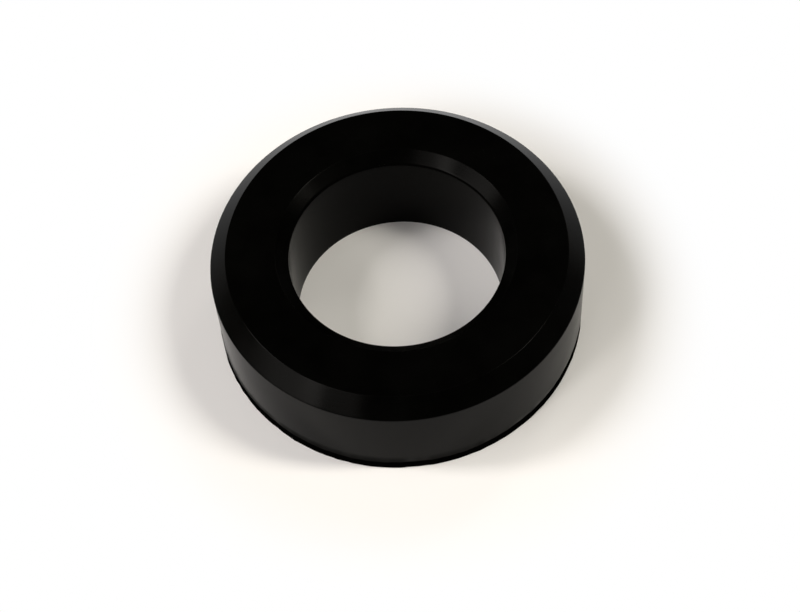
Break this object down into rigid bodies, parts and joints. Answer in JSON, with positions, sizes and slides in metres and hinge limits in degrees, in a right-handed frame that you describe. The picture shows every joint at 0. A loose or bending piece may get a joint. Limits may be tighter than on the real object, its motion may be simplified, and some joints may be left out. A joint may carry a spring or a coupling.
{
  "type": "injector insulator",
  "caption": "Thick black rubber ring with a bevelled rim and a bevelled bore mouth, pressed between a fuel injector's nose and its seat to cushion and seal it.",
  "frame": {"origin": "centre of the flat base, on the ring's axis", "axes": "+Z along the ring's axis from the base to the bevelled top; X and Y are free, because the ring is round"},
  "size_m": [0.022, 0.022, 0.0066],
  "materials": {
    "rubber": "satin moulded black rubber"
  },
  "bodies": {
    "root": {"insulator_ring": "rubber"}
  },
  "joints": []
}
